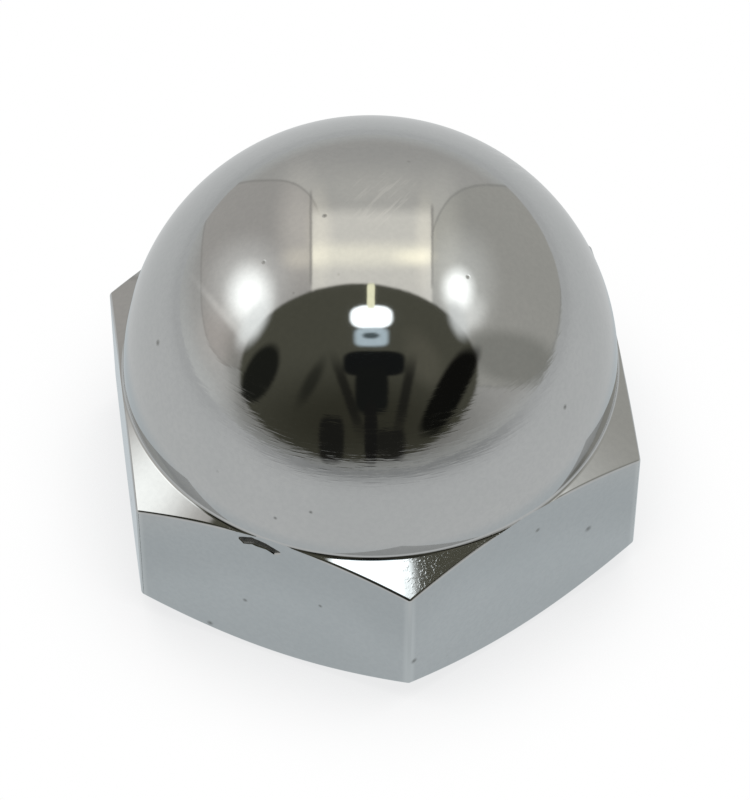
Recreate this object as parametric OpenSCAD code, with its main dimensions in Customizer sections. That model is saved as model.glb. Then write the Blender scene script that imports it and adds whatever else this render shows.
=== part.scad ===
// Domed wheel nut: a hexagon cap nut, closed at the top by a ball-shaped dome
// over a blind tapped hole. It is one solid of steel.
// Units are millimetres. The origin is the middle of the flat underside and
// +Z runs along the thread towards the top of the dome. Two corners of the
// hexagon lie on the Y axis.

/* [Hexagon] */
// Distance across the flats, which is the spanner size
across_flats = 38.1; // [34:0.1:46]
// Height of a flat's upper rim above the underside, at the middle of the flat
hex_height = 13.9; // [12:0.05:24]
// Radius of the upright corners of the drawn bar
corner_radius = 0.3; // [0.1:0.05:1.5]

/* [Chamfers] */
// Slope of the turned chamfer round the top of the hexagon, in degrees
top_chamfer_angle = 30; // [20:1:40]
// Slope of the turned chamfer round the bottom of the hexagon, in degrees
base_chamfer_angle = 30; // [15:1:40]
// How far the rim of the flat bearing face lies inside the flats
bearing_inset = 0.95; // [0.3:0.05:3]

/* [Dome] */
// Width of the shoulder between the dome and the middle of each flat
shoulder_width = 0.22; // [0.1:0.02:2.5]
// How far the dome's centre lies below the upper rim of the flats
dome_sink = 0.05; // [0:0.05:2]
// Radius of the hollow fillet where the dome meets the top chamfer
fillet_radius = 0.6; // [0.2:0.05:1.5]

/* [Tapped hole] */
// Major diameter of the thread
thread_diameter = 25.4; // [18:0.1:27]
// Pitch of the thread
thread_pitch = 1.814; // [1:0.001:3.2]
// Depth of the tapped wall from the underside to the shoulder of the drill point
hole_depth = 21; // [10:0.5:23]
// Full angle of the drill point at the blind end, in degrees
drill_point_angle = 118; // [110:1:140]
// Full angle of the countersink at the mouth, in degrees
countersink_angle = 90; // [60:1:120]
// How far the mouth of the countersink lies outside the thread's major radius
countersink_lip = 0.65; // [0.1:0.05:1.5]

/* [Hidden] */
$fn = 128;

// A cut starts this far outside the solid, so that it leaves no skin
overcut = 1;
// A round tool crosses its neighbours by this much, because surfaces that only touch leave slivers
crossing = 0.003;
// Basic minor diameter of an ISO or unified thread, as pitches off the major diameter
minor_factor = 1.0825;

flat_radius = across_flats / 2;
turned_radius = flat_radius / cos(30) + overcut;
corner_centre = (flat_radius - corner_radius + crossing) / cos(30);

dome_radius = flat_radius - shoulder_width;
dome_centre = hex_height - dome_sink;
overall_height = dome_centre + dome_radius;

bearing_radius = flat_radius - bearing_inset;
minor_radius = (thread_diameter - minor_factor * thread_pitch) / 2;
mouth_radius = thread_diameter / 2 + countersink_lip;

// The fillet's circle rests against the dome and on the chamfer's slope. The
// rise is the angle at the dome's centre, above level, of the point of contact.
slope_normal = [sin(top_chamfer_angle), cos(top_chamfer_angle)];
fillet_reach = dome_radius + fillet_radius - crossing;
centre_to_slope = flat_radius * slope_normal.x + dome_sink * slope_normal.y;
fillet_rise = asin((centre_to_slope + fillet_radius - crossing) / fillet_reach) - top_chamfer_angle;
fillet_centre = round_dome(fillet_reach, fillet_rise);

// A point of the half section, from its distance and angle at the dome's centre
function round_dome(distance, angle) = [distance * cos(angle), dome_centre + distance * sin(angle)];

// Height of the top chamfer's slope, and of the base chamfer's, at a radius
function top_slope(radius) = hex_height - (radius - flat_radius) * tan(top_chamfer_angle);
function base_slope(radius) = (radius - bearing_radius) * tan(base_chamfer_angle);

// Section of the drawn bar: a hexagon with rounded corners
module bar_section() {
    difference() {
        rotate(30)
            circle(r = flat_radius / cos(30), $fn = 6);
        for (k = [0:5])
            rotate(60 * k + 30)
                corner_waste();
    }
}

// What the rounding takes off one corner of the hexagon, with the corner on the X axis
module corner_waste() {
    reach = corner_radius + overcut;
    translate([corner_centre, 0])
        difference() {
            polygon([
                [0, 0],
                reach * [cos(30), -sin(30)],
                [reach / cos(30), 0],
                reach * [cos(30), sin(30)]
            ]);
            circle(r = corner_radius);
        }
}

// Half section of the turned blank below the dome, with both chamfers
module blank_section() {
    core_radius = dome_radius / 2;
    polygon([
        [0, 0],
        [bearing_radius, 0],
        [turned_radius, base_slope(turned_radius)],
        [turned_radius, top_slope(turned_radius)],
        [core_radius, top_slope(core_radius)],
        [0, top_slope(core_radius)]
    ]);
}

// Half section of the dome: a quarter of a disc on the blank
module dome_section() {
    intersection() {
        translate([0, dome_centre])
            circle(r = dome_radius);
        translate([0, dome_centre])
            square(dome_radius + overcut);
    }
}

// Half section of the fillet: what a round-nosed tool leaves in the corner
module fillet_section() {
    dome_anchor = round_dome(dome_radius - fillet_radius, fillet_rise);
    slope_anchor = fillet_centre - 2 * fillet_radius * slope_normal;
    difference() {
        polygon([fillet_centre, dome_anchor, slope_anchor]);
        translate(fillet_centre)
            circle(r = fillet_radius);
    }
}

// Everything that the lathe leaves, before the bar's flats bound it
module turned_body() {
    rotate_extrude()
        union() {
            blank_section();
            dome_section();
            fillet_section();
        }
}

// Space of the blind hole at the thread's minor diameter, with its countersunk mouth
module tapped_hole() {
    mouth_slope = tan(countersink_angle / 2);
    countersink_depth = (mouth_radius - minor_radius) / mouth_slope;
    drill_point = minor_radius / tan(drill_point_angle / 2);
    rotate_extrude()
        polygon([
            [0, -overcut],
            [mouth_radius + overcut * mouth_slope, -overcut],
            [minor_radius, countersink_depth],
            [minor_radius, hole_depth],
            [0, hole_depth + drill_point]
        ]);
}

module wheel_nut() {
    color("lightsteelblue")
        difference() {
            intersection() {
                turned_body();
                linear_extrude(overall_height + overcut)
                    bar_section();
            }
            tapped_hole();
        }
}

wheel_nut();
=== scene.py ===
"""A chrome-plated domed wheel nut on a pale studio floor, inside a soft light tent."""

import logging
import math
from collections.abc import Sequence
from dataclasses import dataclass, field
from enum import Enum

import bmesh
import bpy
from mathutils import Matrix, Vector


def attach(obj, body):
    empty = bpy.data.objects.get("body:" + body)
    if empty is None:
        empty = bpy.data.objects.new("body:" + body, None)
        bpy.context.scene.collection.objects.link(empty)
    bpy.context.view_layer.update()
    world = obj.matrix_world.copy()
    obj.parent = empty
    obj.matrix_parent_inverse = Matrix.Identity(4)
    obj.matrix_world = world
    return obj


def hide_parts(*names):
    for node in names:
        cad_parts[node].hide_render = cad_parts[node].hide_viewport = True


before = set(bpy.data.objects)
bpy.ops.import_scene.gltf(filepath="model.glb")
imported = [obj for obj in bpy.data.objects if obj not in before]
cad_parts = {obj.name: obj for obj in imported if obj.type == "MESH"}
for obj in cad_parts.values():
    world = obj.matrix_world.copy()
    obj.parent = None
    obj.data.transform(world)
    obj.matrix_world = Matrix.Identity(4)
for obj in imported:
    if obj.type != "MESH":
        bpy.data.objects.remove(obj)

LOG = logging.getLogger("wheel_nut_scene")
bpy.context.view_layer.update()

MM = 0.001  # metres in a millimetre
WELD = 0.0001  # points closer than this, in millimetres, are one point
Point = tuple[float, float]
Direction = tuple[float, float, float]
Spot = tuple[float, float, float, float]  # x, y, z and radius, in millimetres
Colour = tuple[float, float, float]
Number = "float | int | Value"

# Sizes that the shape and the finish share, in millimetres and degrees
FLAT_RADIUS = 19.05
HEX_HEIGHT = 13.9
CHAMFER_SLOPE = 30.0
NICK_AZIMUTH = -30.0

# The camera's axes, which are also the view that the tent is laid out in
CAMERA_BACK: Direction = (-0.089060, -0.635944, 0.766579)
CAMERA_RIGHT: Direction = (0.991038, -0.133511, 0.004378)


# ---------------------------------------------------------------- node graphs


class Blend(Enum):
    """How one colour is laid over another."""

    MIX = "MIX"
    ADD = "ADD"


class Value:
    """A number in a node graph that Python expressions can work on."""

    def __init__(self, graph: "Graph", socket: bpy.types.NodeSocket) -> None:
        """Wraps a socket.

        Args:
            graph: the graph that holds the socket's node.
            socket: the output socket that carries the number.
        """
        self.graph = graph
        self.socket = socket

    def maths(self, operation: str, *others: Number) -> "Value":
        """Adds a Math node.

        Args:
            operation: the node's operation.
            others: what follows this value in the operation.

        Returns:
            The result.
        """
        inputs = dict(enumerate((self, *others)))
        return self.graph.value("ShaderNodeMath", {"operation": operation}, inputs)

    def reflected(self, operation: str, first: Number) -> "Value":
        """The operation with the plain number first."""
        settings = {"operation": operation}
        return self.graph.value("ShaderNodeMath", settings, {0: first, 1: self})

    def __add__(self, other: Number) -> "Value":
        """Sum."""
        return self.maths("ADD", other)

    __radd__ = __add__

    def __mul__(self, other: Number) -> "Value":
        """Product."""
        return self.maths("MULTIPLY", other)

    __rmul__ = __mul__

    def __sub__(self, other: Number) -> "Value":
        """Difference."""
        return self.maths("SUBTRACT", other)

    def __rsub__(self, other: Number) -> "Value":
        """Difference from a plain number."""
        return self.reflected("SUBTRACT", other)

    def __truediv__(self, other: Number) -> "Value":
        """Quotient."""
        return self.maths("DIVIDE", other)

    def __rtruediv__(self, other: Number) -> "Value":
        """A plain number divided by this."""
        return self.reflected("DIVIDE", other)

    def __pow__(self, exponent: Number) -> "Value":
        """Power."""
        return self.maths("POWER", exponent)

    def __neg__(self) -> "Value":
        """Opposite sign."""
        return self * -1

    def __abs__(self) -> "Value":
        """Size without sign."""
        return self.maths("ABSOLUTE")

    def most(self, other: Number) -> "Value":
        """The larger of two numbers."""
        return self.maths("MAXIMUM", other)

    def least(self, other: Number) -> "Value":
        """The smaller of two numbers."""
        return self.maths("MINIMUM", other)

    def rise(self, low: float, high: float) -> "Value":
        """A smooth step.

        Args:
            low: where the step leaves 0.
            high: where it reaches 1.

        Returns:
            The step.
        """
        return self.graph.value(
            "ShaderNodeMapRange",
            {"interpolation_type": "SMOOTHSTEP"},
            {"Value": self, "From Min": low, "From Max": high},
        )

    def fall(self, low: float, high: float) -> "Value":
        """A smooth step down, from 1 at low to 0 at high."""
        return 1 - self.rise(low, high)


class Graph:
    """The node graph of one material or world."""

    def __init__(self, tree: bpy.types.NodeTree) -> None:
        """Starts an empty graph in a node tree."""
        self.tree = tree
        tree.nodes.clear()

    def node(self, kind: str, settings: dict, inputs: dict) -> bpy.types.Node:
        """Adds one node.

        Args:
            kind: the node's type.
            settings: attributes to set first.
            inputs: values or links by socket name or index.

        Returns:
            The node.
        """
        made = self.tree.nodes.new(kind)
        for name, setting in settings.items():
            setattr(made, name, setting)
        for key, given in inputs.items():
            target = made.inputs[key]
            if isinstance(given, Value):
                self.tree.links.new(given.socket, target)
            elif isinstance(given, bpy.types.NodeSocket):
                self.tree.links.new(given, target)
            else:
                target.default_value = given
        return made

    def value(self, kind: str, settings: dict, inputs: dict, output: int | str = 0) -> Value:
        """Adds a node and wraps one of its outputs as a number."""
        return Value(self, self.node(kind, settings, inputs).outputs[output])

    def colour(self, mix: Blend, factor: Number, under: object, over: object) -> bpy.types.NodeSocket:
        """Lays one colour over another.

        Args:
            mix: the way they combine.
            factor: how much of the upper one counts.
            under: the lower colour or its socket.
            over: the upper colour or its socket.

        Returns:
            The socket of the result.
        """
        pair = [c if isinstance(c, bpy.types.NodeSocket) else (*c, 1.0) for c in (under, over)]
        settings = {"data_type": "RGBA", "blend_type": mix.value}
        made = self.node("ShaderNodeMix", settings, {0: factor, 6: pair[0], 7: pair[1]})
        return made.outputs[2]

    def place(self) -> bpy.types.NodeSocket:
        """The object's own coordinates."""
        return self.node("ShaderNodeTexCoord", {}, {}).outputs["Object"]

    def axes(self, vector: bpy.types.NodeSocket) -> tuple[Value, Value, Value]:
        """The three parts of a vector."""
        made = self.node("ShaderNodeSeparateXYZ", {}, {0: vector})
        return tuple(Value(self, s) for s in made.outputs)

    def vector(self, x: Number, y: Number, z: Number) -> bpy.types.NodeSocket:
        """A vector from its three parts."""
        return self.node("ShaderNodeCombineXYZ", {}, {0: x, 1: y, 2: z}).outputs[0]

    def sums(self, operation: str, inputs: dict) -> bpy.types.NodeSocket:
        """The vector that a Vector Math node gives."""
        return self.node("ShaderNodeVectorMath", {"operation": operation}, inputs).outputs[0]

    def dot(self, vector: bpy.types.NodeSocket, along: Sequence[float]) -> Value:
        """How far a vector reaches along a fixed direction."""
        settings = {"operation": "DOT_PRODUCT"}
        return self.value("ShaderNodeVectorMath", settings, {0: vector, 1: tuple(along)}, "Value")

    def noise(self, vector: bpy.types.NodeSocket, scale: float, detail: float = 2.0) -> Value:
        """Smooth noise from 0 to 1.

        Args:
            vector: where it is read.
            scale: cells in a unit.
            detail: octaves of finer noise.

        Returns:
            The noise.
        """
        inputs = {"Vector": vector, "Scale": scale, "Detail": detail}
        return self.value("ShaderNodeTexNoise", {}, inputs)


def new_graph(name: str) -> tuple[bpy.types.Material, Graph]:
    """Makes a material with an empty graph."""
    material = bpy.data.materials.new(name)
    material.use_nodes = True
    return material, Graph(material.node_tree)


# ------------------------------------------------------------------ modelling


class Bench:
    """The moves of the modelling bench that every piece uses."""

    @staticmethod
    def nothing_selected() -> None:
        """Leaves edit mode and deselects every object."""
        if bpy.context.object and bpy.context.object.mode != "OBJECT":
            bpy.ops.object.mode_set(mode="OBJECT")
        bpy.ops.object.select_all(action="DESELECT")

    @staticmethod
    def take(piece: bpy.types.Object) -> None:
        """Makes a piece the only selected one."""
        Bench.nothing_selected()
        piece.select_set(True)
        bpy.context.view_layer.objects.active = piece

    @staticmethod
    def draw(name: str, points: Sequence[Point], closed: bool = False) -> bpy.types.Object:
        """Draws a half section in the XZ plane: a plane shrunk to a point, extruded along the rest.

        Args:
            name: the new object's name.
            points: radius and height of each point, in millimetres.
            closed: whether the last point joins the first.

        Returns:
            The drawn outline.
        """
        Bench.nothing_selected()
        bpy.ops.mesh.primitive_plane_add(size=1.0)
        piece = bpy.context.object
        piece.name = name
        bpy.ops.object.mode_set(mode="EDIT")
        bpy.ops.mesh.merge(type="CENTER")
        bpy.ops.transform.translate(value=(points[0][0], 0.0, points[0][1]))
        for (x0, z0), (x1, z1) in zip(points, points[1:]):
            step = {"value": (x1 - x0, 0.0, z1 - z0)}
            bpy.ops.mesh.extrude_region_move(TRANSFORM_OT_translate=step)
        bpy.ops.mesh.select_all(action="SELECT")
        if closed:
            bpy.ops.mesh.edge_face_add()
            bpy.ops.mesh.delete(type="ONLY_FACE")
        bpy.ops.object.mode_set(mode="OBJECT")
        return piece

    @staticmethod
    def turn(piece: bpy.types.Object, steps: int, centre: Point = (0.0, 0.0)) -> None:
        """Spins a half section into a closed solid of revolution.

        Args:
            piece: the drawn half section.
            steps: facets round the full turn.
            centre: where the axis of the lathe stands.
        """
        Bench.take(piece)
        bpy.ops.object.mode_set(mode="EDIT")
        bpy.ops.mesh.select_all(action="SELECT")
        bpy.ops.mesh.spin(
            steps=steps,
            angle=2 * math.pi,
            center=(*centre, 0.0),
            axis=(0.0, 0.0, 1.0),
        )
        Bench.heal()

    @staticmethod
    def heal() -> None:
        """Welds doubles and points every face outwards, then leaves edit mode."""
        bpy.ops.mesh.select_all(action="SELECT")
        bpy.ops.mesh.remove_doubles(threshold=WELD)
        bpy.ops.mesh.normals_make_consistent(inside=False)
        bpy.ops.object.mode_set(mode="OBJECT")

    @staticmethod
    def finish(piece: bpy.types.Object, kind: str, **settings: object) -> None:
        """Adds a modifier and applies it at once.

        Args:
            piece: the piece to change.
            kind: the modifier's type.
            settings: its attributes.
        """
        Bench.take(piece)
        modifier = piece.modifiers.new(kind.title(), kind)
        for name, setting in settings.items():
            setattr(modifier, name, setting)
        bpy.ops.object.modifier_apply(modifier=modifier.name)

    @staticmethod
    def cut(piece: bpy.types.Object, cutter: bpy.types.Object) -> None:
        """Takes a cutter's volume out of a piece and removes the cutter."""
        Bench.finish(piece, "BOOLEAN", object=cutter, operation="DIFFERENCE", solver="EXACT")
        bpy.data.objects.remove(cutter)


def arc(centre: Point, radius: float, start: float, end: float, steps: int) -> list[Point]:
    """Points along an arc of a half section.

    Args:
        centre: radius and height of the arc's centre.
        radius: the arc's radius.
        start: angle above level of its first point, in degrees.
        end: angle of its last point.
        steps: chords along it.

    Returns:
        The points, both ends among them.
    """
    made = []
    for k in range(steps + 1):
        angle = math.radians(start + (end - start) * k / steps)
        made.append((centre[0] + radius * math.cos(angle), centre[1] + radius * math.sin(angle)))
    return made


def metres(*lengths: float) -> tuple[float, ...]:
    """Lengths given in millimetres, in metres."""
    return tuple(length * MM for length in lengths)


def compass(azimuth: float) -> Vector:
    """The level direction at an azimuth in degrees: 0 is -Y and 90 is +X."""
    a = math.radians(azimuth)
    return Vector((math.sin(a), -math.cos(a), 0.0))


# ------------------------------------------------------------------- finishes


@dataclass(frozen=True)
class Position:
    """Where a point of the nut lies, in metres and radians."""

    place: bpy.types.NodeSocket
    x: Value
    y: Value
    z: Value
    turn: Value
    level: Value

    @classmethod
    def read(cls, graph: Graph) -> "Position":
        """Reads the object's coordinates: along the axes, round the nut and away from its middle."""
        place = graph.place()
        x, y, z = graph.axes(place)
        return cls(place, x, y, z, y.maths("ARCTAN2", x), (x * x + y * y).maths("SQRT"))


@dataclass(frozen=True)
class Marks:
    """What use and polishing left on the plate, and the nick's painted shade, each a mask over its surface.
    """

    pits: Value
    dots: Value
    pits_and_nick_shade: Value
    scuffed: Value
    hair: Value
    band: Value
    streaks: Value
    frost: Value


@dataclass(frozen=True)
class ChromePlate:
    """Bright chrome over polished steel, with fine pits, scuffs and polishing lines, painted shade in the
    nick and a painted highlight down the upright corners.

    Heights are in metres, scales in cells to a metre, and places in millimetres.
    """

    tint: Colour = (0.575, 0.58, 0.575)
    pale_tint: Colour = (0.61, 0.61, 0.605)
    grain_tint: Colour = (0.53, 0.535, 0.535)
    scuff_and_highlight_tint: Colour = (0.68, 0.68, 0.67)
    pit_and_nick_shade_tint: Colour = (0.16, 0.16, 0.15)
    tone_scale: float = 130.0
    grain_scale: float = 2600.0
    roughness: float = 0.05
    haze: float = 0.13
    cloud_scale: float = 160.0
    wave_height: float = 0.0000066
    wave_scale: float = 240.0
    ripple_height: float = 0.0000011
    ripple_scale: float = 900.0
    # Lines left by polishing round the dome, and the coarser streaks in a band across its front
    line_height: float = 0.0000007
    line_scale: float = 4200.0
    streak_height: float = 0.0000021
    streak_scale: float = 7000.0
    band_foot: Point = (18.5, 21.5)
    band_top: Point = (24.5, 27.5)
    band_front: Point = (4.0, 11.0)
    pit_height: float = 0.000008
    pit_soft: float = 0.8
    # One cell of the plate in many holds a dot
    dot_scale: float = 620.0
    dot_share: Point = (0.955, 0.98)
    dot_size: Point = (0.05, 0.14)
    pits: tuple[Spot, ...] = (
        (-11.5, -15.3, 5.8, 0.16),
        (-14.1, -13.8, 1.4, 0.2),
        (-6.2, -18.4, 8.2, 0.13),
        (-6.7, -17.3, 18.1, 0.12),
        (-9.2, -16.4, 16.7, 0.12),
        (-16.3, -3.7, 22.7, 0.2),
        (-3.6, -1.5, 32.3, 0.14),
        (-8.3, -3.7, 30.4, 0.12),
        (0.4, -21.8, 4.7, 0.22),
        (14.8, -13.4, 7.7, 0.24),
        (10.4, -16.0, 11.5, 0.18),
        (12.7, -12.2, 20.9, 0.16),
        (6.1, -7.0, 30.4, 0.12),
        (9.5, 13.6, 22.4, 0.18),
        (-13.1, 10.2, 19.2, 0.15),
        (14.4, 13.7, 6.1, 0.2),
        (-9.1, 16.7, 9.4, 0.18),
        (19.0, 3.2, 8.8, 0.16),
        (-19.0, -4.1, 5.2, 0.18),
    )
    # Painted shade: where the nick's walls are painted dark as a painted dark reflection, and how far inside
    # the flat that painted shade starts to show
    nick_shade_place: Spot = (-10.4, -16.0, 13.2, 2.6)
    nick_shade_inset: Point = (0.12, 0.05)
    nick_shade_fade: float = 0.05
    # The front chamfer, frosted on its right half
    frost_place: Spot = (5.8, -19.2, 12.9, 5.2)
    frost_height: float = 0.000003
    speck_scale: float = 5200.0
    # Patches dulled by scuffing, with hairlines across them
    top_scuff: Spot = (0.9, -0.4, 32.7, 2.3)
    side_scuffs: tuple[Spot, ...] = ((12.0, 8.5, 25.5, 3.5), (-9.0, 14.5, 20.5, 3.0))
    hair_scale: float = 1900.0
    # Painted highlight: a light line down the hexagon's upright corners, below the chamfer
    corner_highlight_edge: Point = (21.68, 21.88)
    corner_highlight_top: Point = (11.8, 12.8)

    def near(self, graph: Graph, place: bpy.types.NodeSocket, spot: Spot, soft: float) -> Value:
        """A mask that is 1 inside a ball and fades outwards.

        Args:
            graph: the graph to build in.
            place: object coordinates.
            spot: the ball.
            soft: width of the fade as a share of the radius.

        Returns:
            The mask.
        """
        inputs = {0: place, 1: metres(*spot[:3])}
        gap = graph.value("ShaderNodeVectorMath", {"operation": "DISTANCE"}, inputs, "Value")
        radius = spot[3] * MM
        return gap.fall(radius * (1 - soft), radius * (1 + soft))

    def near_any(
        self, graph: Graph, place: bpy.types.NodeSocket, spots: Sequence[Spot], soft: float
    ) -> Value:
        """A mask that is 1 inside any of several balls and fades outwards.

        Args:
            graph: the graph to build in.
            place: object coordinates.
            spots: the balls.
            soft: width of the fade as a share of each radius.

        Returns:
            The mask.
        """
        mask = self.near(graph, place, spots[0], soft)
        for spot in spots[1:]:
            mask = mask.most(self.near(graph, place, spot, soft))
        return mask

    def nick(self, graph: Graph, at: Position) -> Value:
        """A mask of painted shade over the nick's walls, which lie inside the flat and below its rim."""
        deep, shallow = metres(*(FLAT_RADIUS - inset for inset in self.nick_shade_inset))
        inside = graph.dot(at.place, compass(NICK_AZIMUTH)).fall(deep, shallow)
        below = at.z.fall(*metres(HEX_HEIGHT - self.nick_shade_fade, HEX_HEIGHT + self.nick_shade_fade))
        return self.near(graph, at.place, self.nick_shade_place, 0.1) * inside * below

    def chamfer_frost(self, graph: Graph, at: Position) -> Value:
        """A mask over the frosted half of the front chamfer."""
        fall = (at.level - FLAT_RADIUS * MM) * math.tan(math.radians(CHAMFER_SLOPE))
        # Height above the chamfer's cone: 0 on it, less on the flats, more on the dome
        above = at.z + fall - HEX_HEIGHT * MM
        on_chamfer = above.rise(*metres(-0.15, -0.05)) * above.fall(*metres(0.05, 0.3))
        return self.near(graph, at.place, self.frost_place, 0.35) * on_chamfer

    def marks(self, graph: Graph, at: Position) -> Marks:
        """Finds where the plate is pitted, scuffed, streaked and frosted, and where the nick gets painted
        shade.

        Args:
            graph: the graph to build in.
            at: where the shaded point lies.

        Returns:
            The masks.
        """
        pits = self.near_any(graph, at.place, self.pits, self.pit_soft)
        cells = graph.node(
            "ShaderNodeTexVoronoi",
            {"feature": "F1"},
            {"Vector": at.place, "Scale": self.dot_scale, "Randomness": 1.0},
        )
        rare = graph.axes(cells.outputs["Color"])[0].rise(*self.dot_share)
        dots = Value(graph, cells.outputs["Distance"]).fall(*self.dot_size) * rare
        # Real pits and dots, with painted shade (a painted dark reflection) over the nick's walls
        pits_and_nick_shade = pits.most(dots * 0.4).most(self.nick(graph, at) * 1.5)

        slant = graph.vector((at.x + at.y) * 0.12, at.x - at.y, at.z * 0.3)
        hair = graph.noise(slant, self.hair_scale, 3.0).rise(0.52, 0.64)
        scuffed = self.near(graph, at.place, self.top_scuff, 0.6).most(
            self.near_any(graph, at.place, self.side_scuffs, 0.7)
        )

        along = graph.vector(at.turn * 0.0016, at.x * 0.02, at.z)
        streaks = graph.noise(along, self.streak_scale).rise(0.45, 0.8)
        upright = at.z.rise(*metres(*self.band_foot)) * at.z.fall(*metres(*self.band_top))
        band = upright * (-at.y).rise(*metres(*self.band_front))
        frost = self.chamfer_frost(graph, at)
        return Marks(pits, dots, pits_and_nick_shade, scuffed, hair, band, streaks, frost)

    def relief(self, graph: Graph, at: Position, marks: Marks) -> bpy.types.NodeSocket:
        """The surface's normal, bent by waves, polishing lines and pits.

        Args:
            graph: the graph to build in.
            at: where the shaded point lies.
            marks: the masks over the plate.

        Returns:
            The normal's socket.
        """
        waves = graph.noise(at.place, self.wave_scale) * self.wave_height
        ripple = graph.noise(at.place, self.ripple_scale) * self.ripple_height
        # Long round the turn and fine in height
        round_dome = graph.vector(at.turn * 0.006, at.turn.maths("SINE") * 0.004, at.z)
        lines = graph.noise(round_dome, self.line_scale, 3.0) * (0.25 + marks.band * 0.9)
        scratch = (lines + marks.hair * marks.scuffed) * self.line_height
        scratch = scratch + marks.streaks * marks.band * self.streak_height
        specks = graph.noise(at.place, self.speck_scale).rise(0.52, 0.7)
        scratch = scratch + specks * marks.frost * self.frost_height
        hollows = (marks.pits + marks.dots * 0.4) * self.pit_height
        height = waves + ripple + scratch - hollows
        inputs = {"Strength": 1.0, "Distance": 1.0, "Height": height}
        return graph.node("ShaderNodeBump", {}, inputs).outputs[0]

    def shade(self, graph: Graph, at: Position, marks: Marks) -> bpy.types.NodeSocket:
        """The metal's colour: dark in pits, painted shade in the nick, lighter where it is scuffed, and a
        painted highlight down the upright corners.

        Args:
            graph: the graph to build in.
            at: where the shaded point lies.
            marks: the masks over the plate.

        Returns:
            The colour's socket.
        """
        tone = graph.noise(at.place, self.tone_scale, 4.0).rise(0.3, 0.7) * 0.7
        clean = graph.colour(Blend.MIX, tone, self.tint, self.pale_tint)
        grain = graph.noise(at.place, self.grain_scale, 3.0).rise(0.3, 0.7) * 0.4
        clean = graph.colour(Blend.MIX, grain, clean, self.grain_tint)
        # Painted highlight: a light line down the upright corners, below the chamfer; scuffs are lighter too
        corner = at.level.rise(*metres(*self.corner_highlight_edge)) * at.z.fall(*metres(*self.corner_highlight_top))
        scuffs_and_corner_highlight = (marks.scuffed * marks.hair * 0.7).most(corner * 0.8)
        clean = graph.colour(Blend.MIX, scuffs_and_corner_highlight, clean, self.scuff_and_highlight_tint)
        # Darker in pits and dots, and painted shade over the nick's walls
        return graph.colour(Blend.MIX, (marks.pits_and_nick_shade * 0.6).least(1.0), clean, self.pit_and_nick_shade_tint)

    def dullness(self, graph: Graph, at: Position, marks: Marks) -> Value:
        """The metal's roughness, higher where it is scuffed, streaked, clouded, pitted, nicked or frosted.
        """
        clouds = graph.noise(at.place, self.cloud_scale, 3.0).rise(0.6, 0.85)
        haze = marks.scuffed * marks.hair * 0.5 + marks.band * marks.streaks * 0.6 + clouds * 0.12
        return self.roughness + haze.least(1.0) * self.haze + marks.pits_and_nick_shade * 0.4 + marks.frost * 0.06

    def build(self) -> bpy.types.Material:
        """Makes the material."""
        material, graph = new_graph("chrome_plate")
        at = Position.read(graph)
        marks = self.marks(graph, at)
        surface = graph.node(
            "ShaderNodeBsdfPrincipled",
            {},
            {
                "Base Color": self.shade(graph, at, marks),
                "Metallic": 1.0,
                "Roughness": self.dullness(graph, at, marks),
                "Normal": self.relief(graph, at, marks),
            },
        )
        graph.node("ShaderNodeOutputMaterial", {}, {"Surface": surface.outputs[0]})
        return material


# -------------------------------------------------------------------- the nut


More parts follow.
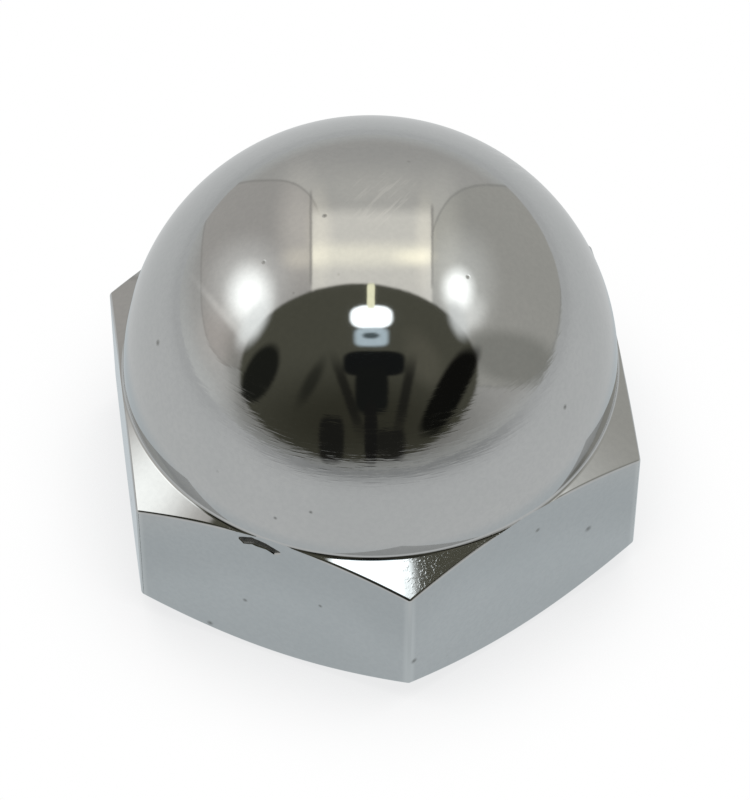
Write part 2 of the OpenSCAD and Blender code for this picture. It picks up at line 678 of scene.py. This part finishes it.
@dataclass
class WheelNut:
    """The domed nut: a turned blank bounded by a hexagon bar's flats, drilled and tapped from below.

    All sizes are in millimetres.
    """

    flat_radius: float = FLAT_RADIUS
    hex_height: float = HEX_HEIGHT
    bearing_radius: float = 18.1
    chamfer_slope: float = CHAMFER_SLOPE
    stock_radius: float = 22.6
    dome_radius: float = 18.82
    fillet_radius: float = 0.46
    # The lathe's axis stands a little off the middle of the bar
    lathe_axis: Point = (-0.03, -0.21)
    # The bearing face's rim: how far its round reaches each way, and its middle point
    rim_reach: float = 0.25
    rim_point: Point = (0.02, 0.035)
    rounding: float = 0.2
    # Edges blunter than this many degrees stay as they are
    sharp_edge: float = 22.0
    smooth_edge: float = 32.0
    flat_area: float = 50.0
    minor_radius: float = 11.718
    major_radius: float = 12.7
    pitch: float = 1.814
    mouth_radius: float = 13.35
    hole_depth: float = 21.0
    drill_angle: float = 118.0
    thread_flank: float = 30.0
    thread_turns: int = 11
    # A cutter starts this far below the underside, and the tap reaches this far into the wall
    run_in: float = 1.0
    tap_overlap: float = 0.3
    turn_steps: int = 290
    dome_steps: int = 76
    fillet_steps: int = 9
    drill_steps: int = 120
    thread_steps: int = 72
    # The nick below the rim of one flat: along the flat, lower and upper edge, depth
    nick_bottom: float = 0.52
    nick: tuple[tuple[float, float, float, float], ...] = (
        (-2.66, 13.12, 13.36, 0.1),
        (-2.26, 12.72, 13.56, 0.34),
        (-1.58, 12.98, 13.82, 0.36),
        (-1.10, 12.90, 13.74, 0.4),
        (-0.46, 12.90, 13.62, 0.34),
        (0.18, 12.6, 13.36, 0.34),
        (0.68, 12.84, 13.16, 0.1),
    )
    flats: tuple[int, ...] = (30, 90, 150, 210, 270, 330)
    finish: ChromePlate = field(default_factory=ChromePlate)

    def half_section(self) -> list[Point]:
        """Radius and height of each point of the turned profile, from the underside to the pole."""
        slope = math.radians(self.chamfer_slope)
        base_rise = (self.stock_radius - self.bearing_radius) * math.tan(slope)
        top_fall = (self.stock_radius - self.flat_radius) * math.tan(slope)
        reach = self.dome_radius + self.fillet_radius
        contact = math.asin((self.fillet_radius + self.flat_radius * math.sin(slope)) / reach) - slope
        centre = (reach * math.cos(contact), self.hex_height + reach * math.sin(contact))
        contact_angle = math.degrees(contact)
        slope_angle = 270.0 - self.chamfer_slope
        fillet = arc(centre, self.fillet_radius, slope_angle, 180.0 + contact_angle, self.fillet_steps)
        dome_centre = (0.0, self.hex_height)
        dome = arc(dome_centre, self.dome_radius, contact_angle, 90.0, self.dome_steps)[1:]
        return [
            (0.0, 0.0),
            (self.bearing_radius - self.rim_reach, 0.0),
            (self.bearing_radius + self.rim_point[0], self.rim_point[1]),
            (self.bearing_radius + self.rim_reach, self.rim_reach * math.tan(slope)),
            (self.stock_radius, base_rise),
            (self.stock_radius, self.hex_height - top_fall),
            *fillet,
            *dome[:-1],
            (0.0, dome[-1][1]),
        ]

    def turn_blank(self) -> bpy.types.Object:
        """Turns the blank on the lathe."""
        x, y = self.lathe_axis
        section = [(radius + x, height) for radius, height in self.half_section()]
        piece = Bench.draw("nut_body", section)
        Bench.take(piece)
        bpy.ops.object.mode_set(mode="EDIT")
        bpy.ops.mesh.select_all(action="SELECT")
        bpy.ops.transform.translate(value=(0.0, y, 0.0))
        bpy.ops.object.mode_set(mode="OBJECT")
        Bench.turn(piece, self.turn_steps, self.lathe_axis)
        return piece

    def cut_flats(self, piece: bpy.types.Object) -> None:
        """Bounds the blank by the six flats of the bar."""
        Bench.take(piece)
        bpy.ops.object.mode_set(mode="EDIT")
        for azimuth in self.flats:
            normal = compass(azimuth)
            bpy.ops.mesh.select_all(action="SELECT")
            bpy.ops.mesh.bisect(
                plane_co=normal * self.flat_radius,
                plane_no=normal,
                use_fill=True,
                clear_outer=True,
                threshold=WELD,
            )
        Bench.heal()

    def round_rims(self, piece: bpy.types.Object) -> None:
        """Rounds the flats' edges, and lets the rounding fade out where the dome runs into a flat."""
        bm = bmesh.new()
        bm.from_mesh(piece.data)
        weight = bm.edges.layers.float.new("bevel_weight_edge")
        axis = Vector((*self.lathe_axis, 0.0))
        # The rounding is whole this far outside the fillet and gone just short of it
        fade = self.rounding * 1.4
        fade_end = self.dome_radius + self.fillet_radius / 2 + 0.01
        middle = self.hex_height / 2
        for edge in bm.edges:
            if len(edge.link_faces) != 2 or edge.calc_face_angle() < math.radians(self.sharp_edge):
                continue
            if not any(self.is_flat(face) for face in edge.link_faces):
                continue
            mid = (edge.verts[0].co + edge.verts[1].co) / 2
            across = mid - axis
            across.z = 0.0
            room = 1.0 if mid.z < middle else (across.length - fade_end) / fade
            edge[weight] = max(0.0, min(1.0, room))
        bm.to_mesh(piece.data)
        bm.free()
        Bench.finish(
            piece,
            "BEVEL",
            limit_method="WEIGHT",
            width=self.rounding,
            segments=4,
            use_clamp_overlap=False,
            offset_type="OFFSET",
        )

    def is_flat(self, face: bmesh.types.BMFace) -> bool:
        """Whether a face is one of the six flats: upright, square to it and large."""
        upright = abs(face.normal.z) <= 0.001
        facing = max(face.normal.dot(compass(azimuth)) for azimuth in self.flats)
        return upright and facing > 0.99999 and face.calc_area() > self.flat_area

    def drill(self) -> bpy.types.Object:
        """The space that the drill and the countersink leave."""
        depth = self.mouth_radius - self.minor_radius
        point = self.minor_radius / math.tan(math.radians(self.drill_angle / 2))
        section = [
            (0.0, -self.run_in),
            (self.mouth_radius + self.run_in, -self.run_in),
            (self.minor_radius, depth),
            (self.minor_radius, self.hole_depth),
            (0.0, self.hole_depth + point),
        ]
        cutter = Bench.draw("drill", section)
        Bench.turn(cutter, self.drill_steps)
        return cutter

    def tap(self) -> bpy.types.Object:
        """The helical groove of the thread, as a solid."""
        inner = self.minor_radius - self.tap_overlap
        outer_half = self.pitch / 16
        inner_half = outer_half + (self.major_radius - inner) * math.tan(math.radians(self.thread_flank))
        start = -self.run_in
        section = [
            (inner, start - inner_half),
            (self.major_radius, start - outer_half),
            (self.major_radius, start + outer_half),
            (inner, start + inner_half),
        ]
        cutter = Bench.draw("tap", section, closed=True)
        Bench.finish(
            cutter,
            "SCREW",
            axis="Z",
            screw_offset=self.pitch,
            iterations=self.thread_turns,
            steps=self.thread_steps,
            render_steps=self.thread_steps,
            use_merge_vertices=False,
        )
        bpy.ops.object.mode_set(mode="EDIT")
        bpy.ops.mesh.select_all(action="SELECT")
        bpy.ops.mesh.remove_doubles(threshold=WELD)
        bpy.ops.mesh.select_all(action="SELECT")
        bpy.ops.mesh.fill_holes(sides=0)
        Bench.heal()
        return cutter

    def chisel(self) -> bpy.types.Object:
        """The wedge that leaves the nick in one flat."""
        normal = compass(NICK_AZIMUTH)
        along = Vector((-normal.y, normal.x, 0.0))
        out = 0.4
        rings = []
        for run, low, high, depth in self.nick:
            deep = low + (high - low) * self.nick_bottom
            above = high + (high - deep) * out / depth
            below = low - (deep - low) * out / depth
            base = along * run + normal * self.flat_radius
            rings.append(
                [
                    base + normal * out + Vector((0.0, 0.0, above)),
                    base + normal * out + Vector((0.0, 0.0, below)),
                    base - normal * depth + Vector((0.0, 0.0, deep)),
                ]
            )
        Bench.nothing_selected()
        bpy.ops.mesh.primitive_circle_add(vertices=3, radius=1.0, fill_type="NGON")
        cutter = bpy.context.object
        cutter.name = "chisel"
        bpy.ops.object.mode_set(mode="EDIT")
        for k in range(len(rings)):
            if k:
                bpy.ops.mesh.extrude_region_move(TRANSFORM_OT_translate={"value": along})
            bm = bmesh.from_edit_mesh(cutter.data)
            corners = [v for v in bm.verts if v.select]
            for corner, target in zip(corners, rings[k]):
                corner.co = target
            bmesh.update_edit_mesh(cutter.data)
        Bench.heal()
        return cutter

    def build(self) -> bpy.types.Object:
        """Makes the finished nut."""
        piece = self.turn_blank()
        self.cut_flats(piece)
        self.round_rims(piece)
        Bench.cut(piece, self.drill())
        Bench.cut(piece, self.tap())
        Bench.cut(piece, self.chisel())
        Bench.take(piece)
        bpy.ops.object.shade_smooth_by_angle(angle=math.radians(self.smooth_edge), keep_sharp_edges=False)
        Bench.finish(
            piece,
            "WEIGHTED_NORMAL",
            mode="FACE_AREA",
            weight=100,
            keep_sharp=True,
        )
        Bench.take(piece)
        bpy.ops.transform.resize(value=(MM, MM, MM), center_override=(0.0, 0.0, 0.0))
        bpy.ops.object.transform_apply(location=True, rotation=True, scale=True)
        piece.data.materials.clear()
        piece.data.materials.append(self.finish.build())
        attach(piece, "root")
        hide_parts("wheel_nut")
        return piece


# ------------------------------------------------------------------ the studio


@dataclass(frozen=True)
class Patch:
    """A soft-edged patch of light or dark on the tent.

    It is placed where a mirror ball shows it from the front, in radii of the ball.
    """

    across: float
    up: float
    half_width: float
    half_height: float
    soft: float
    light: Colour
    power: float = 2.0
    mix: Blend = Blend.MIX
    amount: float = 1.0
    lean: float = 0.0
    ring: bool = False
    soft_up: float = 0.0

    def mask(self, u: Value, v: Value) -> Value:
        """How much of the patch shows at a place.

        Args:
            u: distance right of the ball's middle.
            v: distance above it.

        Returns:
            Up to 1 inside the patch and 0 outside.
        """
        dx = u - self.across
        dy = v - self.up
        if self.lean:
            dx = dx - dy * self.lean
        wide = abs(dx / self.half_width)
        high = abs(dy / self.half_height)
        if self.soft_up:
            sides = wide.fall(1 - self.soft, 1 + self.soft)
            return sides * high.fall(1 - self.soft_up, 1 + self.soft_up) * self.amount
        far = (wide**self.power + high**self.power) ** (1 / self.power)
        if self.ring:
            return abs(far - 1).fall(0.0, self.soft) * self.amount
        return far.fall(1 - self.soft, 1 + self.soft) * self.amount


@dataclass
class LightTent:
    """White cloth all round, open at the front, with a soft lamp glowing through each side."""

    radius: float = 2.9
    foot: Colour = (0.56, 0.57, 0.56)
    wall: Colour = (0.485, 0.48, 0.462)
    # The wall takes over from the foot between these heights, in degrees
    wall_edge: Point = (0.0, 10.0)
    # The mirror ball's view: towards its front, to its right and up
    front: Direction = CAMERA_BACK
    right: Direction = CAMERA_RIGHT
    rise: Direction = (0.099564, 0.760102, 0.642139)
    patches: tuple[Patch, ...] = (
        # low left corner, and the back wall
        Patch(-0.641, -0.063, 0.170, 0.267, 0.9, (0.12, 0.125, 0.125), mix=Blend.ADD),
        Patch(0.002, 0.665, 0.299, 0.097, 0.9, (0.15, 0.145, 0.125), power=3, mix=Blend.ADD),
        # side cloths
        Patch(-0.422, 0.345, 0.243, 0.376, 0.03, (0.495, 0.48, 0.457), power=3),
        Patch(0.487, 0.305, 0.263, 0.400, 0.03, (0.475, 0.47, 0.438), power=2.6),
        Patch(-0.277, 0.527, 0.069, 0.178, 0.9, (0.22, 0.2, 0.175), mix=Blend.ADD),
        Patch(0.281, 0.483, 0.061, 0.186, 0.9, (0.17, 0.165, 0.14), mix=Blend.ADD),
        # their seams
        Patch(-0.422, 0.345, 0.243, 0.376, 0.022, (0.34, 0.33, 0.31), power=3, amount=0.6, ring=True),
        Patch(0.487, 0.305, 0.263, 0.400, 0.022, (0.32, 0.32, 0.3), power=2.6, amount=0.6, ring=True),
        # the roof, glowing where the cloths join
        Patch(0.006, 0.363, 0.234, 0.230, 0.03, (0.93, 0.905, 0.835), soft_up=0.15),
        Patch(0.006, 0.418, 0.234, 0.040, 0.03, (0.33, 0.31, 0.21), soft_up=0.9, mix=Blend.ADD),
        Patch(-0.200, 0.479, 0.040, 0.146, 0.9, (0.2, 0.18, 0.13), mix=Blend.ADD),
        Patch(0.212, 0.479, 0.032, 0.137, 0.9, (0.2, 0.18, 0.13), mix=Blend.ADD),
        Patch(0.168, 0.410, 0.061, 0.028, 0.9, (0.34, 0.31, 0.2), mix=Blend.ADD),
        Patch(-0.281, 0.406, 0.053, 0.036, 0.9, (0.2, 0.18, 0.13), mix=Blend.ADD),
        Patch(-0.233, 0.487, 0.005, 0.186, 0.6, (0.33, 0.32, 0.3), amount=0.65, soft_up=0.1),
        Patch(0.241, 0.454, 0.005, 0.162, 0.6, (0.33, 0.32, 0.3), amount=0.7, soft_up=0.1),
        # a lamp behind each cloth
        Patch(-0.479, 0.301, 0.121, 0.137, 0.8, (0.36, 0.37, 0.37), mix=Blend.ADD),
        Patch(-0.471, 0.252, 0.073, 0.101, 0.75, (1.05, 1.1, 1.09), mix=Blend.ADD),
        Patch(0.354, 0.301, 0.105, 0.162, 0.8, (0.27, 0.28, 0.28), mix=Blend.ADD),
        Patch(0.342, 0.285, 0.049, 0.065, 0.75, (1.4, 1.45, 1.45), mix=Blend.ADD),
        Patch(0.382, 0.179, 0.053, 0.065, 0.8, (0.4, 0.41, 0.41), lean=0.3, mix=Blend.ADD),
        # the shaded feet of the cloths
        Patch(0.556, 0.018, 0.178, 0.105, 0.35, (0.29, 0.29, 0.265), power=2.4, lean=-0.6, amount=0.8),
        Patch(-0.515, -0.047, 0.036, 0.137, 0.9, (0.2, 0.2, 0.18), lean=-0.2, amount=0.5),
        Patch(-0.568, 0.179, 0.016, 0.113, 0.9, (0.17, 0.17, 0.165), lean=-0.8, mix=Blend.ADD),
        # the open front and the dark room beyond it
        Patch(-0.046, -0.043, 0.465, 0.348, 0.02, (0.098, 0.097, 0.074)),
        Patch(-0.059, -0.233, 0.396, 0.170, 0.7, (0.036, 0.035, 0.024), amount=0.88),
        Patch(-0.430, -0.043, 0.065, 0.113, 0.18, (0.012, 0.013, 0.011), lean=0.35, amount=0.95),
        Patch(0.208, 0.010, 0.061, 0.097, 0.6, (0.135, 0.13, 0.1), lean=-0.35, amount=0.8),
        Patch(0.309, -0.116, 0.061, 0.170, 0.18, (0.007, 0.007, 0.006), power=2.8, lean=0.5),
        Patch(0.014, -0.006, 0.121, 0.049, 0.1, (0.011, 0.012, 0.012), power=4),
        Patch(-0.087, -0.132, 0.020, 0.129, 0.5, (0.012, 0.012, 0.011), power=4, lean=-0.35, amount=0.8),
        Patch(0.135, -0.132, 0.020, 0.129, 0.5, (0.012, 0.012, 0.011), power=4, lean=0.2, amount=0.8),
        Patch(0.006, -0.112, 0.065, 0.089, 0.15, (0.012, 0.013, 0.012), power=4),
        Patch(0.002, -0.273, 0.026, 0.121, 0.15, (0.013, 0.013, 0.012), power=4),
        Patch(-0.152, -0.302, 0.049, 0.089, 0.15, (0.012, 0.012, 0.011), power=4, amount=0.9),
        Patch(0.079, -0.322, 0.057, 0.061, 0.2, (0.013, 0.013, 0.012), power=4, amount=0.85),
        Patch(-0.232, -0.079, 0.028, 0.081, 0.6, (0.015, 0.016, 0.013), lean=0.5, amount=0.7),
        # the tails of the lamps' glow, and the soft light above the open front
        Patch(-0.455, 0.155, 0.044, 0.081, 0.6, (1.25, 1.29, 1.28), lean=0.45, amount=0.85),
        Patch(0.342, 0.167, 0.032, 0.065, 0.6, (1, 1.03, 1.02), lean=-0.25, amount=0.8),
        Patch(-0.600, 0.111, 0.065, 0.105, 0.8, (0.085, 0.065, 0.055), mix=Blend.ADD),
        Patch(0.004, 0.175, 0.081, 0.044, 0.12, (2.2, 2.35, 2.4), power=2.8),
        Patch(0.004, 0.097, 0.065, 0.036, 0.2, (0.62, 0.75, 0.82), power=4),
        Patch(0.002, 0.103, 0.032, 0.012, 0.4, (0.1, 0.13, 0.14)),
        Patch(0.002, 0.256, 0.015, 0.049, 0.15, (1.3, 1.28, 0.9), power=6),
    )

    def build(self) -> bpy.types.Object:
        """Makes the tent's shell, which only reflections see."""
        Bench.nothing_selected()
        bpy.ops.mesh.primitive_uv_sphere_add(segments=96, ring_count=48, radius=self.radius)
        shell = bpy.context.object
        shell.name = "light_tent"
        bpy.ops.object.mode_set(mode="EDIT")
        bpy.ops.mesh.select_all(action="SELECT")
        bpy.ops.mesh.flip_normals()
        bpy.ops.object.mode_set(mode="OBJECT")
        bpy.ops.object.shade_smooth()
        shell.visible_camera = False
        shell.visible_diffuse = False
        shell.visible_shadow = False
        shell.data.materials.append(self.cloth())
        return shell

    def cloth(self) -> bpy.types.Material:
        """The cloth's light, as each direction from the middle shows it."""
        material, graph = new_graph("tent_cloth")
        place = graph.place()
        x, y, z = graph.axes(place)
        level = (x * x + y * y).maths("SQRT")
        elevation = z.maths("ARCTAN2", level) * (180 / math.pi)
        outward = graph.sums("NORMALIZE", {0: place})
        facet = graph.sums("NORMALIZE", {0: graph.sums("ADD", {0: outward, 1: self.front})})
        u = graph.dot(facet, self.right)
        v = graph.dot(facet, self.rise)
        light = graph.colour(Blend.MIX, elevation.rise(*self.wall_edge), self.foot, self.wall)
        for patch in self.patches:
            light = graph.colour(patch.mix, patch.mask(u, v), light, patch.light)
        glow = graph.node("ShaderNodeEmission", {}, {"Color": light, "Strength": 1.0})
        graph.node("ShaderNodeOutputMaterial", {}, {"Surface": glow.outputs[0]})
        return material


@dataclass
class StudioFloor:
    """A plain pale floor that keeps the nut's soft shadow; what the metal sees of it has painted shade and a
    painted light ring round the nut.
    """

    radius: float = 2.8
    # The darker, bluer tone near the nut is painted shade
    near: Colour = (0.54, 0.585, 0.608)
    pale: Colour = (0.648, 0.662, 0.665)
    shade: Colour = (0.62, 0.63, 0.64)
    contact: float = 0.012
    shadow_strength: float = 0.5
    # Share of the radius between the outer rim and the inner ring of points
    inset: float = 0.9
    # Distances from the nut's axis, in metres: the painted light ring at its foot, the change
    # from the near tone of painted shade to the pale one, and the slow painted shade outwards
    painted_light_ring: Point = (0.0235, 0.0275)
    tone_edge: Point = (0.028, 0.036)
    painted_darkening: Point = (0.04, 0.4)

    def build(self) -> bpy.types.Object:
        """Makes the floor."""
        Bench.nothing_selected()
        bpy.ops.mesh.primitive_circle_add(vertices=96, radius=self.radius, fill_type="NGON")
        floor = bpy.context.object
        floor.name = "studio_floor"
        bpy.ops.object.mode_set(mode="EDIT")
        bpy.ops.mesh.select_all(action="SELECT")
        bpy.ops.mesh.inset(thickness=self.radius * self.inset)
        bpy.ops.object.mode_set(mode="OBJECT")
        floor.data.materials.append(self.paper())
        return floor

    def paper(self) -> bpy.types.Material:
        """White to the camera but for the shadow, pale grey to the metal with painted shade and a painted
        light ring round the nut, plain paper to lamps.
        """
        material, graph = new_graph("floor_paper")
        x, y, _ = graph.axes(graph.place())
        far = (x * x + y * y).maths("SQRT")
        front = (-y / (far + 0.001)).rise(0.3, 0.95)
        # Painted shade outwards and towards the front, and a painted light ring at the nut's foot
        painted_floor_shade_and_light = 1 - far.rise(*self.painted_darkening) * (0.12 + front * 0.38) + far.fall(*self.painted_light_ring) * 0.1
        open_sky = graph.value(
            "ShaderNodeAmbientOcclusion",
            {"samples": 12},
            {"Distance": self.contact},
            "AO",
        )
        path = graph.node("ShaderNodeLightPath", {}, {})
        camera = Value(graph, path.outputs["Is Camera Ray"])
        mirrored = Value(graph, path.outputs["Is Glossy Ray"]).most(
            Value(graph, path.outputs["Is Transmission Ray"])
        )
        # A darker, bluer tone near the nut: painted shade
        grey = graph.colour(Blend.MIX, far.rise(*self.tone_edge), self.near, self.pale)
        # What the metal sees, also dimmed by ambient occlusion as painted shade next to the nut
        seen = graph.node(
            "ShaderNodeEmission",
            {},
            {"Color": grey, "Strength": painted_floor_shade_and_light * (0.85 + open_sky * 0.15)},
        )
        clear = graph.node("ShaderNodeBsdfTransparent", {}, {})
        shadow = graph.node("ShaderNodeEmission", {}, {"Color": (*self.shade, 1.0), "Strength": 1.0})
        white = graph.node(
            "ShaderNodeMixShader",
            {},
            {0: open_sky.fall(0.35, 0.95) * self.shadow_strength, 1: clear.outputs[0], 2: shadow.outputs[0]},
        )
        plain = graph.node("ShaderNodeBsdfDiffuse", {}, {"Color": (*self.pale, 1.0)})
        metal = graph.node("ShaderNodeMixShader", {}, {0: mirrored, 1: plain.outputs[0], 2: seen.outputs[0]})
        both = graph.node("ShaderNodeMixShader", {}, {0: camera, 1: metal.outputs[0], 2: white.outputs[0]})
        graph.node("ShaderNodeOutputMaterial", {}, {"Surface": both.outputs[0]})
        return material


@dataclass(frozen=True)
class SoftLamp:
    """A square lamp at plain strength, aimed at the nut."""

    name: str
    azimuth: float
    elevation: float
    distance: float = 1.2
    size: float = 0.8
    power: float = 9.0

    def build(self) -> bpy.types.Object:
        """Makes the lamp, which chrome shows only as the glow on the tent."""
        data = bpy.data.lights.new(self.name, "AREA")
        data.size = self.size
        data.energy = self.power
        lamp = bpy.data.objects.new(self.name, data)
        bpy.context.scene.collection.objects.link(lamp)
        level = compass(self.azimuth) * math.cos(math.radians(self.elevation))
        away = level + Vector((0.0, 0.0, math.sin(math.radians(self.elevation))))
        lamp.location = away * self.distance
        lamp.rotation_euler = away.to_track_quat("Z", "Y").to_euler()
        lamp.visible_glossy = False
        return lamp


@dataclass
class Studio:
    """Tent, floor, lamps, white background and camera."""

    tent: LightTent = field(default_factory=LightTent)
    floor: StudioFloor = field(default_factory=StudioFloor)
    lamps: tuple[SoftLamp, ...] = (
        SoftLamp("left_lamp", -100.0, 38.0),
        SoftLamp("right_lamp", 77.0, 54.0),
    )
    # Millimetres, like the lens and the sensor
    camera_place: Direction = (-26.196, -189.661, 237.797)
    lens: float = 173.914
    sensor: float = 36.0
    # Plain level of the white background for anything but the camera and reflections
    fill: float = 0.55

    def build(self) -> None:
        """Sets up everything round the nut."""
        self.tent.build()
        self.floor.build()
        for lamp in self.lamps:
            lamp.build()
        self.background()
        self.camera()
        bpy.context.scene.view_settings.view_transform = "Standard"

    def background(self) -> None:
        """White to the camera and to reflections, and a plain level of light otherwise."""
        world = bpy.data.worlds.new("studio_world")
        bpy.context.scene.world = world
        world.use_nodes = True
        graph = Graph(world.node_tree)
        path = graph.node("ShaderNodeLightPath", {}, {})
        seen = Value(graph, path.outputs["Is Camera Ray"])
        for ray in ("Is Glossy Ray", "Is Transmission Ray"):
            seen = seen.most(Value(graph, path.outputs[ray]))
        strength = self.fill + seen * (1 - self.fill)
        light = graph.node(
            "ShaderNodeBackground",
            {},
            {"Color": (1.0, 1.0, 1.0, 1.0), "Strength": strength},
        )
        graph.node("ShaderNodeOutputWorld", {}, {"Surface": light.outputs[0]})

    def camera(self) -> None:
        """Places the camera."""
        data = bpy.data.cameras.new("camera")
        data.sensor_fit = "AUTO"
        data.sensor_width = self.sensor
        data.lens = self.lens
        data.clip_start, data.clip_end = 0.01, 20.0
        camera = bpy.data.objects.new("camera", data)
        bpy.context.scene.collection.objects.link(camera)
        back = Vector(CAMERA_BACK).normalized()
        right = Vector(CAMERA_RIGHT).normalized()
        up = back.cross(right)
        turn = Matrix((right, up, back)).transposed()
        camera.matrix_world = Matrix.Translation(Vector(self.camera_place) * MM) @ turn.to_4x4()
        bpy.context.scene.camera = camera


def main() -> None:
    """Builds the nut and the studio in order."""
    logging.basicConfig(level=logging.INFO, format="%(name)s: %(message)s")
    nut = WheelNut().build()
    LOG.info("%s: %d vertices, %d faces", nut.name, len(nut.data.vertices), len(nut.data.polygons))
    Studio().build()
    LOG.info("studio ready")


if __name__ == "__main__":
    main()
